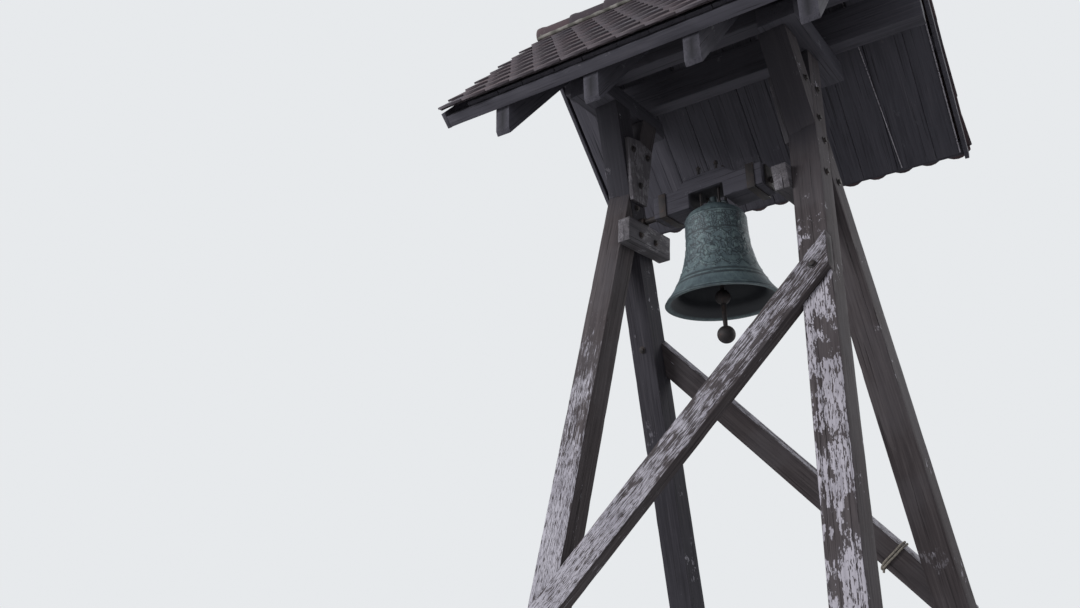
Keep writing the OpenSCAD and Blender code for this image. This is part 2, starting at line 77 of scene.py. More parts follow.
def modify(piece, kind, **settings):
    pick(piece)
    bpy.ops.object.modifier_add(type=kind)
    step = piece.modifiers[-1]
    for key, value in settings.items():
        setattr(step, key, value)
    bpy.ops.object.modifier_apply(modifier=step.name)


# The place, turn and scale go into the mesh
def settle(piece):
    pick(piece)
    bpy.ops.object.transform_apply(location=True, rotation=True, scale=True)
    return piece


def added(operation, **settings):
    clearSelection()
    operation(**settings)
    return bpy.context.object


def joined(parts, name):
    pick(*parts)
    if len(parts) > 1:
        bpy.ops.object.join()
    piece = bpy.context.object
    piece.name = piece.data.name = name
    return piece


def addBox(low, high):
    low, high = Vector(low), Vector(high)
    box = added(bpy.ops.mesh.primitive_cube_add, size=1, location=(low + high) / 2)
    box.scale = high - low
    return settle(box)


# A new mesh in the shape of a CAD node, its triangles merged back to flat faces
def copyNode(node, name):
    piece = bpy.data.objects.new(name, frame["nodes"][node].data.copy())
    scene.collection.objects.link(piece)
    piece.data.materials.clear()
    pick(piece)
    if piece.data.has_custom_normals:
        bpy.ops.mesh.customdata_custom_splitnormals_clear()
    openMesh(piece, "VERT")
    bpy.ops.mesh.remove_doubles(threshold=0.00002)
    bpy.ops.mesh.dissolve_limited(angle_limit=math.radians(0.5))
    closeMesh()
    return piece


def looseParts(piece):
    openMesh(piece)
    bpy.ops.mesh.separate(type="LOOSE")
    closeMesh()
    return list(bpy.context.selected_objects)


# Names a piece, gives it its material, ties it to its body and hides the CAD nodes that it replaces
def finished(piece, name, body, material, replaced=(), smooth=30):
    piece.name = piece.data.name = name
    settle(piece)
    piece.data.materials.clear()
    piece.data.materials.append(material)
    bpy.ops.object.shade_smooth_by_angle(angle=math.radians(smooth))
    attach(piece, body)
    if replaced:
        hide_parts(*replaced)


def places(mesh):
    found = np.empty(len(mesh.vertices) * 3)
    mesh.vertices.foreach_get("co", found)
    return found.reshape(-1, 3)


def directions(mesh):
    found = np.empty(len(mesh.vertices) * 3)
    mesh.vertex_normals.foreach_get("vector", found)
    return found.reshape(-1, 3)


def setPlaces(mesh, points):
    mesh.vertices.foreach_set("co", np.asarray(points).ravel())
    mesh.update()


# Stores one number or one vector for each vertex, for the materials to read
def keep(mesh, name, values):
    values = np.asarray(values, float)
    kind = "FLOAT" if values.ndim == 1 else "FLOAT_VECTOR"
    layer = mesh.attributes.get(name) or mesh.attributes.new(name, kind, "POINT")
    layer.data.foreach_set("value" if values.ndim == 1 else "vector", values.ravel())


# The same number on every vertex
def keepEven(mesh, **values):
    for name, value in values.items():
        keep(mesh, name, np.full(len(mesh.vertices), float(value)))


def noiseAt(points, scale, offset=0.0):
    stretched = points * np.asarray(scale) + offset
    return np.array([noise.noise(p) for p in stretched])


cameraSet = dict(
    place=(2.2317, -4.4322, 1.6039), lens=28.614, sensor=36, tiltUp=19.397, turnLeft=39.473, roll=-1.247,
)
lightSet = dict(
    world=0.44, tint=(0.92, 0.94, 1.0), background=(0.80, 0.82, 0.84), aim=(0, 0, 3.0),
    key=dict(place=(-6.0, -8.0, 7.0), size=5.0, power=900),
    fill=dict(place=(7.0, -6.0, 4.0), size=7.0, power=60),
    back=dict(place=(4.0, 8.0, 7.0), size=5.0, power=300),
)
floorSet = dict(
    radius=40, colour=(0.50, 0.495, 0.48), lighter=1.06, speck=6.0, seen=(0.70, 0.70, 0.69),
)


def makeCamera():
    camera = added(bpy.ops.object.camera_add, location=cameraSet["place"])
    turn = (Matrix.Rotation(math.radians(cameraSet["turnLeft"]), 3, "Z")
            @ Matrix.Rotation(math.radians(90 + cameraSet["tiltUp"]), 3, "X")
            @ Matrix.Rotation(math.radians(cameraSet["roll"]), 3, "Z"))
    camera.rotation_euler = turn.to_euler()
    camera.data.lens = cameraSet["lens"]
    camera.data.sensor_width = cameraSet["sensor"]
    camera.data.sensor_fit = "HORIZONTAL"
    scene.camera = camera


def makeLights():
    world = bpy.data.worlds.new("paleStudio")
    scene.world = world
    openTree(world)
    path = put("LightPath")
    soft = put("Background", {"Color": (*lightSet["tint"], 1), "Strength": lightSet["world"]})
    shown = put("Background", {"Color": (*lightSet["background"], 1), "Strength": 1.0})
    seen = maths("MAXIMUM", path["Is Glossy Ray"], path["Is Transmission Ray"])
    seen = maths("MAXIMUM", path["Is Camera Ray"], seen)
    both = put("MixShader", {0: seen, 1: soft["Background"], 2: shown["Background"]})
    put("OutputWorld", {"Surface": both["Shader"]})
    for name in ("key", "fill", "back"):
        lamp = lightSet[name]
        light = added(bpy.ops.object.light_add, type="AREA", location=lamp["place"])
        light.name = name + "Light"
        light.data.size = lamp["size"]
        light.data.energy = lamp["power"]
        aim = Vector(lightSet["aim"]) - Vector(lamp["place"])
        light.rotation_euler = aim.to_track_quat("-Z", "Y").to_euler()


def makeFloor():
    floor = added(bpy.ops.mesh.primitive_circle_add, vertices=96, radius=floorSet["radius"], fill_type="NGON")
    floor.name = "floor"
    material = newMaterial("paleFloor")
    speck = noiseNode(put("TexCoord")["Object"], floorSet["speck"], 4)
    plain = floorSet["colour"]
    shade = colourRamp(speck, [(0.3, plain), (0.7, tuple(c * floorSet["lighter"] for c in plain))])
    path = put("LightPath")
    seen = maths("MAXIMUM", path["Is Camera Ray"], path["Is Glossy Ray"])
    shade = blendColour(seen, shade, floorSet["seen"])
    surface({"Base Color": shade, "Roughness": 0.9})
    floor.data.materials.append(material)


# The node tree that put adds to
nodeTree = {}


def openTree(owner):
    owner.use_nodes = True
    owner.node_tree.nodes.clear()
    nodeTree["open"] = owner.node_tree


# Adds a node, with a link or a value for each socket, and gives its outputs
def put(kind, sockets=None, **settings):
    tree = nodeTree["open"]
    node = tree.nodes.new("ShaderNode" + kind)
    for key, value in settings.items():
        setattr(node, key, value)
    for key, value in (sockets or {}).items():
        if isinstance(value, bpy.types.NodeSocket):
            tree.links.new(value, node.inputs[key])
        else:
            node.inputs[key].default_value = value
    return node.outputs


def newMaterial(name):
    material = bpy.data.materials.new(name)
    openTree(material)
    return material


def surface(sockets):
    shader = put("BsdfPrincipled", sockets)
    put("OutputMaterial", {"Surface": shader["BSDF"]})


# A size for each direction stretches the noise along the grain
def noiseNode(vector, size, detail=3, rough=0.55):
    if isinstance(size, tuple):
        vector, size = put("Mapping", {"Vector": vector, "Scale": size})["Vector"], 1
    return put("TexNoise", {"Vector": vector, "Scale": size, "Detail": detail, "Roughness": rough})["Fac"]


def maths(kind, first, second=0.0, third=0.0):
    return put("Math", {0: first, 1: second, 2: third}, operation=kind)["Value"]


def times(first, second):
    return maths("MULTIPLY", first, second)


# A share of one value on top of another
def addShare(value, share, base):
    return maths("MULTIPLY_ADD", value, share, base)


def opposite(value):
    return maths("SUBTRACT", 1.0, value)


def stepUp(value, low, high):
    sockets = {"Value": value, "From Min": low, "From Max": high}
    return put("MapRange", sockets, interpolation_type="SMOOTHSTEP")["Result"]


def between(value, low, high):
    return put("MapRange", {"Value": value, "To Min": low, "To Max": high})["Result"]


def colourRamp(value, stops):
    colour = put("ValToRGB", {"Fac": value})["Color"]
    ramp = colour.node.color_ramp
    while len(ramp.elements) < len(stops):
        ramp.elements.new(0.5)
    for element, (place, shade) in zip(ramp.elements, stops):
        element.position = place
        element.color = (*shade, 1)
    return colour


def blendColour(amount, first, second):
    colours = [(*c, 1) if isinstance(c, tuple) else c for c in (first, second)]
    return put("Mix", {0: amount, 6: colours[0], 7: colours[1]}, data_type="RGBA")[2]


def bump(height, strength, distance):
    return put("Bump", {"Height": height, "Strength": strength, "Distance": distance})["Normal"]


def stored(name, output="Fac"):
    return put("Attribute", attribute_name=name)[output]


# Rows of settings as dictionaries
def named(words, **rows):
    return {name: dict(zip(words.split(), row)) for name, row in rows.items()}


# How paint wears: how much islands, patches and flakes count, the sizes of flakes and flecks, and where
# flecks start in their noise
wear = named(
    "islands patches flakes flakeSize fleckSize flecks",
    flaky=(1.0, 0.65, 0.62, (88, 88, 30), (150, 150, 26), 0.445),
    combed=(0.55, 0.42, 1.10, (190, 190, 9), (260, 260, 20), 0.462),
)
# Wood from dark to light, its weathered grey and the share of it, for two of the finishes
brownOak = ((0.024, 0.019, 0.021), (0.054, 0.045, 0.048), (0.098, 0.085, 0.088), (0.088, 0.081, 0.090), 0.4)
# The second column is how strongly painted shade darkens the wood under the roof
timberLooks = named(
    "wear dusk dark mid light grey greyAmount paint paintOld",
    flakingPaint=("flaky", 0.7, *brownOak, (0.410, 0.390, 0.440), (0.270, 0.255, 0.295)),
    combedPaint=("combed", 0.65, *brownOak, (0.400, 0.385, 0.435), (0.260, 0.248, 0.290)),
    # A darker copy of the flaking paint: painted shade for the left back leg
    sootyPaint=("flaky", 0.5, (0.012, 0.011, 0.015), (0.026, 0.024, 0.031), (0.050, 0.046, 0.055),
                (0.042, 0.040, 0.050), 0.4, (0.340, 0.325, 0.375), (0.200, 0.190, 0.225)),
    darkStain=("flaky", 0.0, (0.034, 0.033, 0.042), (0.060, 0.058, 0.073), (0.086, 0.082, 0.099),
               (0.066, 0.064, 0.080), 0.5, (0.110, 0.106, 0.126), (0.090, 0.087, 0.104)),
    bareGrey=("flaky", 0.35, (0.034, 0.031, 0.035), (0.098, 0.091, 0.101), (0.165, 0.153, 0.163),
              (0.13, 0.125, 0.140), 0.5, (0.20, 0.19, 0.21), (0.14, 0.13, 0.15)),
)
# Sizes of the grain, how much stays bare, edges of paint and flecks, roughness of wood and paint, and bumps
woodSet = dict(
    fibre=(95, 95, 3.0), figure=(16, 16, 0.7), splits=(150, 150, 2.0), blotch=2.6, islands=(6, 6, 6.2),
    patches=(19, 19, 14), bare=0.26, edge=0.012, fleckEdge=0.03, rough=(0.86, 0.66), bump=(0.7, 0.0022),
)


# Paint survives in islands with flaky edges, and is worn through in short flecks along the grain
def paintMask(wears, grain, paint, deep):
    islands = noiseNode(grain, woodSet["islands"], 2, 0.5)
    patches = noiseNode(grain, woodSet["patches"], 3, 0.6)
    flakes = noiseNode(grain, wears["flakeSize"], 5, 0.66)
    flecks = noiseNode(grain, wears["fleckSize"], 2, 0.6)
    middle = 0.5 * (wears["islands"] + wears["patches"] + wears["flakes"]) + woodSet["bare"]
    cover = addShare(islands, wears["islands"], times(patches, wears["patches"]))
    cover = addShare(flakes, wears["flakes"], cover)
    cover = addShare(paint, 0.5, cover)
    mask = stepUp(cover, middle - woodSet["edge"], middle + woodSet["edge"])
    flecked = stepUp(addShare(paint, 0.04, flecks), wears["flecks"], wears["flecks"] + woodSet["fleckEdge"])
    mask = times(times(mask, flecked), stepUp(paint, 0.01, 0.06))
    return times(mask, opposite(deep))


# Painted shade: under the roof the wood is darkened, less on faces that look to the sides; at the feet it has
# splashed earth and green damp
def sheltered(look, blotch, colour):
    low = put("SeparateXYZ", {"Vector": put("TexCoord")["Object"]})["Z"]
    # Painted shade of the roof: above about 4.15 m the wood blends to a dark blue-grey
    dusk = times(stepUp(addShare(blotch, 0.4, low), 4.15, 4.50), look["dusk"])
    colour = blendColour(times(dusk, stored("sheltered")), colour, (0.034, 0.033, 0.043))
    damp = opposite(stepUp(addShare(blotch, -0.5, low), -0.2, 0.35))
    return blendColour(times(damp, 0.6), colour, (0.050, 0.050, 0.034))


def timberMaterial(name):
    look = timberLooks[name]
    material = newMaterial(name)
    grain, paint, deep = stored("grain", "Vector"), stored("paint"), stored("deep")
    fibre = noiseNode(grain, woodSet["fibre"], 5, 0.65)
    figure = noiseNode(grain, woodSet["figure"])
    splits = noiseNode(grain, woodSet["splits"], 2, 0.4)
    blotch = noiseNode(grain, woodSet["blotch"])
    wood = addShare(fibre, 0.6, times(figure, 0.4))
    colour = colourRamp(wood, [(0.32, look["dark"]), (0.50, look["mid"]), (0.68, look["light"])])
    colour = blendColour(times(stepUp(blotch, 0.4, 0.65), look["greyAmount"]), colour, look["grey"])
    mask = paintMask(wear[look["wear"]], grain, paint, deep)
    aged = addShare(fibre, 0.5, times(blotch, 0.5))
    tint = colourRamp(aged, [(0.38, look["paintOld"]), (0.56, look["paint"])])
    colour = blendColour(mask, colour, tint)
    # Dark lines of fine splits, and painted shade deep inside the drying cracks
    dark = opposite(stepUp(splits, 0.30, 0.36))
    dark = maths("MAXIMUM", times(dark, 0.75), times(deep, 0.9))
    colour = blendColour(dark, colour, tuple(c * 0.35 for c in look["dark"]))
    height = addShare(mask, 0.35, times(fibre, 0.5))
    height = addShare(dark, -0.6, height)
    surface({"Base Color": sheltered(look, blotch, colour), "Roughness": between(mask, *woodSet["rough"]),
             "Specular IOR Level": 0.3, "Normal": bump(height, *woodSet["bump"])})
    return material


# Share of paint on the faces that look to the front, back, sides, up and down, then how it fades with height:
# from, to and by how much
paintLevels = {
    "rightFrontLeg": ((0.72, 0.10, 0.06, 0.3, 0.0), (3.05, 3.75, 0.72)),
    "leftFrontLeg": ((1.02, 0.10, 0.02, 0.3, 0.0), (1.8, 3.7, 1.0)),
    "backLeg": ((0.03, 0.62, 0.05, 0.3, 0.0), (2.8, 3.9, 0.55)),
    "frontBrace": ((0.98, 0.10, 0.05, 0.6, 0.02), (1.2, 2.6, 0.46)),
    "backBrace": ((0.02, 0.78, 0.04, 2.6, 0.0), (1.3, 3.3, 0.30)),
    "roof": ((0.06, 0.06, 0.06, 0.06, 0.0), (0.0, 1.0, 0.0)),
    "yoke": ((0.12, 0.12, 0.12, 0.12, 0.05), (0.0, 1.0, 0.0)),
    "bare": ((0.35, 0.35, 0.35, 0.3, 0.1), (0.0, 1.0, 0.0)),
}
# Worn edge, spacing of the cuts along and across, roughness, then the drying cracks: how many, from and to
# which length, half width, depth, and half width of those in the ends
timberShapes = named(
    "bevel step lane rough checks checkLong checkWide checkDeep endCheck",
    leg=(0.005, 0.045, 0.040, 0.0022, 9, (0.30, 1.20), 0.0034, 0.020, 0),
    brace=(0.004, 0.045, 0.040, 0.0020, 7, (0.25, 0.90), 0.0030, 0.016, 0),
    block=(0.006, 0.030, 0.030, 0.0030, 8, (0.10, 0.30), 0.0036, 0.022, 0.003),
    plank=(0.003, 0.030, 0.030, 0.0022, 3, (0.10, 0.30), 0.0030, 0.012, 0),
    yoke=(0.005, 0.030, 0.035, 0.0022, 8, (0.12, 0.40), 0.0030, 0.018, 0.002),
    beam=(0.005, 0.060, 0.045, 0.0022, 4, (0.20, 0.70), 0.0030, 0.016, 0),
    slender=(0.003, 0.090, 0.060, 0.0016, 1, (0.20, 0.60), 0.0022, 0.010, 0),
    board=(0.0015, 0.120, 0.060, 0.0012, 1, (0.15, 0.50), 0.0020, 0.008, 0),
)


# The bar's own directions: across, through and along its grain
def barAxes(mesh):
    points = places(mesh)
    ends = np.array([edge.vertices[:] for edge in mesh.edges])
    runs = points[ends[:, 1]] - points[ends[:, 0]]
    along = Vector(runs[np.argmax((runs ** 2).sum(1))]).normalized()
    if along[max(range(3), key=lambda k: abs(along[k]))] < 0:
        along = -along
    flats = [face for face in mesh.polygons if abs(face.normal.dot(along)) < 0.05]
    through = max(flats, key=lambda face: face.area).normal.copy()
    through = (through - along * through.dot(along)).normalized()
    return np.array([through.cross(along), through, along])


def cutAcross(piece, direction, marks):
    openMesh(piece)
    for mark in marks:
        bpy.ops.mesh.select_all(action="SELECT")
        bpy.ops.mesh.bisect(plane_co=Vector(direction) * mark, plane_no=direction)
    closeMesh()


def marksBetween(low, high, step):
    count = max(1, round((high - low) / step))
    return [low + (high - low) * k / count for k in range(1, count)]


bladeSet = dict(
    cuts=11, taper=0.6, blunt=0.02, proud=0.003, least=0.001, waves=7, sway=0.006, ends=(0.045, 0.012),
)
# Deep in a drying crack the paint stops and the wood gets painted shade
crackSet = dict(start=0.004, over=0.006)  # how deep in the wood a crack starts to turn dark, and how fast


# Divides the upright edges of a cylinder that is 1 high
def divideUprights(piece, cuts):
    heights = places(piece.data)[:, 2]
    openMesh(piece, "EDGE", lambda edge: np.ptp(heights[list(edge.vertices)]) > 0.5)
    bpy.ops.mesh.subdivide(number_cuts=cuts)
    closeMesh()


# A long thin wedge that cuts one drying crack: face, lateral and along are the bar's own directions
def checkBlade(axes, face, lateral, along, level, out, place, start, length, wide, deep, sway):
    blade = added(bpy.ops.mesh.primitive_cylinder_add, vertices=3, radius=1, depth=1)
    divideUprights(blade, bladeSet["cuts"])
    own = places(blade.data)
    where = own[:, 2] + 0.5
    angle = np.arctan2(own[:, 1], own[:, 0])
    corner = np.rint((angle - angle[0]) / (2 * np.pi / 3)).astype(int) % 3
    swell = np.sin(np.pi * np.clip(where, bladeSet["blunt"], 1 - bladeSet["blunt"])) ** bladeSet["taper"]
    spots = [Vector((w * bladeSet["waves"] * length + 3.1, place * 31, start * 7)) for w in where]
    wave = np.array([noise.noise(spot) for spot in spots]) * sway
    half, depth = wide * swell, deep * swell + bladeSet["least"]
    bar = np.zeros_like(own)
    bar[:, lateral] = place + wave + np.where(corner == 0, -half, np.where(corner == 1, half, 0))
    bar[:, face] = level + out * np.where(corner == 2, -depth, bladeSet["proud"])
    bar[:, along] = start + where * length
    setPlaces(blade.data, bar @ axes)
    openMesh(blade)
    bpy.ops.mesh.normals_make_consistent(inside=False)
    closeMesh()
    return blade


def checkBlades(axes, low, high, shape, rng):
    blades = []
    ends = (low, high)
    for _ in range(shape["checks"]):
        face, side = rng.choice((0, 1)), rng.choice((0, 1))
        lateral = 1 - face
        place = low[lateral] + (high[lateral] - low[lateral]) * rng.uniform(0.15, 0.85)
        length = min(rng.uniform(*shape["checkLong"]), 0.8 * (high[2] - low[2]))
        start = rng.uniform(low[2] - 0.1 * length, high[2] - 0.9 * length)
        wide = shape["checkWide"] * rng.uniform(0.25, 0.5)
        deep = shape["checkDeep"] * rng.uniform(0.5, 1.0)
        blades.append(checkBlade(axes, face, lateral, 2, ends[side][face], 1 if side else -1,
                                 place, start, length, wide, deep, bladeSet["sway"]))
    for side in (0, 1) if shape["endCheck"] else ():
        face = 0 if high[0] - low[0] > high[1] - low[1] else 1
        lateral = 1 - face
        length = (high[face] - low[face]) * rng.uniform(0.55, 0.75)
        start = rng.choice((low[face] - 0.1 * length, high[face] - 0.9 * length))
        place = low[lateral] + (high[lateral] - low[lateral]) * rng.uniform(0.35, 0.65)
        blades.append(checkBlade(axes, 2, lateral, face, ends[side][2], 1 if side else -1,
                                 place, start, length, shape["endCheck"], *bladeSet["ends"]))
    return blades


def storeTimber(mesh, axes, low, high, levels, seed):
    points, normals = places(mesh), directions(mesh)
    own = points @ axes.T
    keep(mesh, "grain", own + seed * np.array([1.37, 2.11, 3.3]))
    x, y, z = normals.T
    weights = np.maximum(np.stack([-y, y, np.abs(x), z, -z], 1), 0) ** 2
    total = np.maximum(weights.sum(1), 1e-6)
    shares, (fadeFrom, fadeTo, loss) = levels
    share = (weights * np.array(shares)).sum(1) / total
    rise = np.clip((points[:, 2] - fadeFrom) / (fadeTo - fadeFrom), 0, 1)
    keep(mesh, "paint", np.where(share > 0.2, np.maximum(share - loss * rise, 0.03), share))
    # Share of the painted roof shade for each vertex: faces that look to the sides get less, as if lit by the
    # sun
    keep(mesh, "sheltered", 1 - 0.9 * weights[:, 2] / total)
    # How deep a vertex lies in a crack, for no paint and painted shade there
    inside = np.minimum(own - low, high - own).min(1)
    keep(mesh, "deep", np.clip((inside - crackSet["start"]) / crackSet["over"], 0, 1))


hewSet = dict(
    sharp=25, shortest=0.02, broad=(9, 9, 1.7), fine=(42, 42, 6), chips=(5, 5, 11), chipFrom=0.28,
    chipDeep=0.016,
)


# Rounds the long edges, roughens the faces inwards and opens drying cracks
def hewBar(part, shape, levels, seed):
    rng = random.Random(seed)
    mesh = part.data
    axes = barAxes(mesh)
    own = places(mesh) @ axes.T
    low, high = own.min(0), own.max(0)
    openMesh(part, "EDGE")
    bpy.ops.mesh.select_all(action="DESELECT")
    bpy.ops.mesh.edges_select_sharp(sharpness=math.radians(hewSet["sharp"]))
    closeMesh()
    points = places(mesh)
    for edge in mesh.edges:
        run = points[edge.vertices[1]] - points[edge.vertices[0]]
        edge.select = edge.select and float(np.sqrt(run @ run)) > hewSet["shortest"]
    bpy.ops.object.mode_set(mode="EDIT")
    bpy.ops.mesh.bevel(offset=shape["bevel"], offset_type="OFFSET", segments=2, affect="EDGES",
                       clamp_overlap=False)
    closeMesh()
    cutAcross(part, axes[2], marksBetween(low[2], high[2], shape["step"]))
    for k in (0, 1):
        cutAcross(part, axes[k], marksBetween(low[k], high[k], shape["lane"]))
    points, normals = places(mesh), directions(mesh)
    own, facing = points @ axes.T, np.abs(normals @ axes.T)
    broad = noiseAt(own, hewSet["broad"], seed * 3.1)
    fine = noiseAt(own, hewSet["fine"], seed * 1.7)
    corner = np.clip((1 - facing.max(1)) * 6, 0, 1)
    chips = noiseAt(own, hewSet["chips"], seed * 5.3) - hewSet["chipFrom"]
    chip = np.clip(chips, 0, 1) * hewSet["chipDeep"] * corner
    inwards = shape["rough"] * np.clip(0.45 + 0.55 * broad + 0.35 * fine, 0, 1.3) + chip
    setPlaces(mesh, points - normals * inwards[:, None])
    for blade in checkBlades(axes, low, high, shape, rng):
        whole = part.data.copy()
        modify(part, "BOOLEAN", operation="DIFFERENCE", object=blade, solver="MANIFOLD")
        if len(part.data.polygons) < len(whole.polygons):
            part.data = whole  # a blade that met an end is left out
        bpy.data.objects.remove(blade)
    storeTimber(part.data, axes, low, high, levels, seed)
    return part


def hewnNode(node, shapeName, levelName, seed):
    parts = looseParts(copyNode(node, node + "Timber"))
    for index, part in enumerate(parts):
        hewBar(part, timberShapes[shapeName], paintLevels[levelName], seed + index * 0.61)
    return joined(parts, node + "Timber")


# Nodes, then the shape, paint and finish of their timbers
timberPlan = (
    ("right_front_leg", "leg", "rightFrontLeg", "flakingPaint"),
    ("right_back_leg", "leg", "backLeg", "flakingPaint"),
    ("left_front_leg", "leg", "leftFrontLeg", "combedPaint"),
    # The left back leg gets the darker copy of the flaking paint, as painted shade
    ("left_back_leg", "leg", "backLeg", "sootyPaint"),
    ("right_crossing_plank left_crossing_plank", "plank", "bare", "bareGrey"),
    ("front_brace", "brace", "frontBrace", "combedPaint"),
    ("back_brace", "brace", "backBrace", "combedPaint"),
    ("right_bearing_block left_bearing_block", "block", "bare", "bareGrey"),
    ("right_cross_beam left_cross_beam front_carrier back_carrier", "beam", "roof", "darkStain"),
    ("front_rafters back_rafters front_purlins back_purlins", "slender", "roof", "darkStain"),
    ("right_barge_boards left_barge_boards", "slender", "roof", "darkStain"),
    ("yoke", "yoke", "yoke", "darkStain"),
)


def camelName(node):
    words = node.split("_")
    return words[0] + "".join(word.capitalize() for word in words[1:])


def bodyOf(node):
    return next(body for body, nodes in frame["record"]["behaviour"]["bodies"].items() if node in nodes)


def makeTimbers():
    finishes = {name: timberMaterial(name) for name in timberLooks}
    timbers = [(node, *rest) for nodes, *rest in timberPlan for node in nodes.split()]
    for seed, (node, shapeName, levelName, finish) in enumerate(timbers, 1):
        piece = hewnNode(node, shapeName, levelName, seed)
        finished(piece, camelName(node) + "Timber", bodyOf(node), finishes[finish], [node])
        print("timber:", node, len(piece.data.polygons), "faces")
    return finishes


# Places on the roof: side 1 is the back slope, -1 the front one; y runs down the slope, z out of it
roofSet = dict(
    turn=6.5, place=(0.061, 0.058), ridge=5.776, pitch=46.0, half=1.321, eaveRun=1.280, tileLayer=0.050,
)
pitchCos, pitchSin = math.cos(math.radians(roofSet["pitch"])), math.sin(math.radians(roofSet["pitch"]))


def roofMatrix():
    return Matrix.Rotation(math.radians(roofSet["turn"]), 4, "Z") @ Matrix.Translation((*roofSet["place"], 0))


def slopeMatrix(side):
    return roofMatrix() @ Matrix(((side, 0, 0, 0), (0, side * pitchCos, side * pitchSin, 0),
                                  (0, -pitchSin, pitchCos, roofSet["ridge"]), (0, 0, 0, 1)))


# The names of a piece and of its CAD node on one slope
def slopeNames(side, node):
    node = ("back_" if side > 0 else "front_") + node
    return camelName(node), node


def placedCopy(piece, matrix, name):
    copy = bpy.data.objects.new(name, piece.data.copy())
    copy.data.transform(matrix)
    scene.collection.objects.link(copy)
    return copy


# slip, tilt and rock are the most that a tile lies out of line
tileSet = dict(
    width=0.173, length=0.40, thick=0.013, round=0.045, tailFrom=1.6, camber=0.0022, courses=10, gauge=0.19,
    across=15, rise=0.0285, verge=0.006, eaveBack=0.003, underLength=0.22, underBack=0.075,
    underRise=0.0105, lift=0.0006, slip=0.004, tilt=0.010, rock=0.004, tailGlintWidth=0.02, seed=11,
)


def tileMaterial():
    material = newMaterial("weatheredClay")
    own, tone = stored("grain", "Vector"), stored("tone")
    spots = noiseNode(own, 26, 5, 0.62)
    broad = noiseNode(own, 5)
    grit = noiseNode(own, 320, 2)
    colour = colourRamp(tone, [(0.0, (0.040, 0.031, 0.040)), (0.35, (0.056, 0.041, 0.049)),
                               (0.7, (0.074, 0.048, 0.054)), (1.0, (0.052, 0.047, 0.060))])
    soot = times(stepUp(broad, 0.42, 0.66), 0.7)
    colour = blendColour(soot, colour, (0.032, 0.028, 0.034))
    lichen = times(stepUp(spots, 0.60, 0.68), stored("weather"))
    colour = blendColour(times(lichen, 0.6), colour, (0.19, 0.185, 0.16))
    colour = blendColour(times(grit, 0.2), colour, (0.12, 0.085, 0.088))
    # A pale band at the round tails: worn edges, and a painted highlight for the sky's glint on them
    tail = stepUp(addShare(spots, 0.2, stored("tail")), 1.00, 1.10)
    colour = blendColour(times(tail, 0.6), colour, (0.125, 0.112, 0.128))
    height = addShare(lichen, 0.4, addShare(grit, 0.35, spots))
    surface({"Base Color": colour, "Roughness": 0.82, "Specular IOR Level": 0.35,
             "Normal": bump(height, 0.5, 0.0015)})
    return material


# One plain tile with a round tail, head at the origin, tail down the slope
def makeTile(length, rounding):
    tile = added(bpy.ops.mesh.primitive_grid_add, x_subdivisions=6, y_subdivisions=2, size=1)
    points = places(tile.data)
    across, down = points[:, 0] * 2, 0.5 - points[:, 1]
    shape = np.zeros_like(points)
    shape[:, 0] = across * tileSet["width"] / 2
    shape[:, 1] = down * length - rounding * across ** 2 * np.clip(down * 2 - 1, 0, 1)
    shape[:, 2] = tileSet["thick"] + tileSet["camber"] * (1 - across ** 2)
    # The middle row lies just above the round tail
    middle = np.abs(down - 0.5) < 0.1
    shape[middle, 1] = length - rounding * tileSet["tailFrom"]
    setPlaces(tile.data, shape)
    if tile.data.polygons[0].normal.z < 0:
        openMesh(tile)
        bpy.ops.mesh.flip_normals()
        closeMesh()
    modify(tile, "SOLIDIFY", thickness=tileSet["thick"], offset=-1)
    return tile


def halfTile(tile, keepRight):
    half = placedCopy(tile, Matrix(), "halfTile")
    openMesh(half)
    bpy.ops.mesh.bisect(plane_co=(0, 0, 0), plane_no=(1, 0, 0), use_fill=True,
                        clear_inner=keepRight, clear_outer=not keepRight)
    closeMesh()
    quarter = 0.25 * tileSet["width"]
    half.data.transform(Matrix.Translation((-quarter if keepRight else quarter, 0, 0)))
    return half


